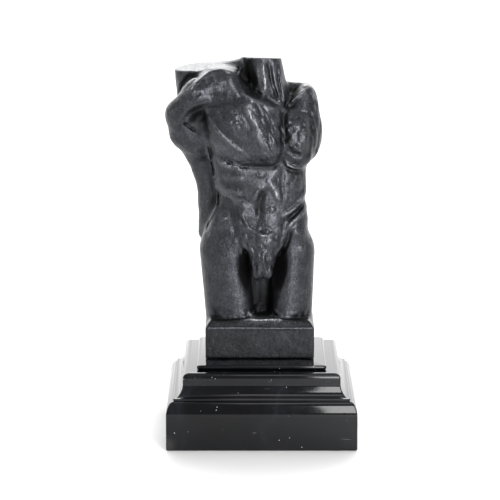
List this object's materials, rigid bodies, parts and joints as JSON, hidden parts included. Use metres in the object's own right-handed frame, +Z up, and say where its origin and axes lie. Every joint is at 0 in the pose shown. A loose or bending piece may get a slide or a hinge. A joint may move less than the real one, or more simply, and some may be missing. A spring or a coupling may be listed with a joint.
{
  "type": "bronze torso sculpture",
  "caption": "Table sculpture of a headless male torso in dark bronze, one piece with its squared block, standing on a moulded black marble plinth.",
  "frame": {"origin": "centre of the marble base's underside, on the surface it stands on", "axes": "+Z up through the figure, -Y the side that the figure's chest and belly face, +X to the figure's left"},
  "size_m": [0.1615, 0.16, 0.321],
  "materials": {
    "bronze": "satin",
    "slab_marble": "polished",
    "base_marble": "polished"
  },
  "bodies": {
    "root": {"bronze_torso": "bronze", "marble_slab": "slab_marble", "marble_base": "base_marble"}
  },
  "joints": []
}
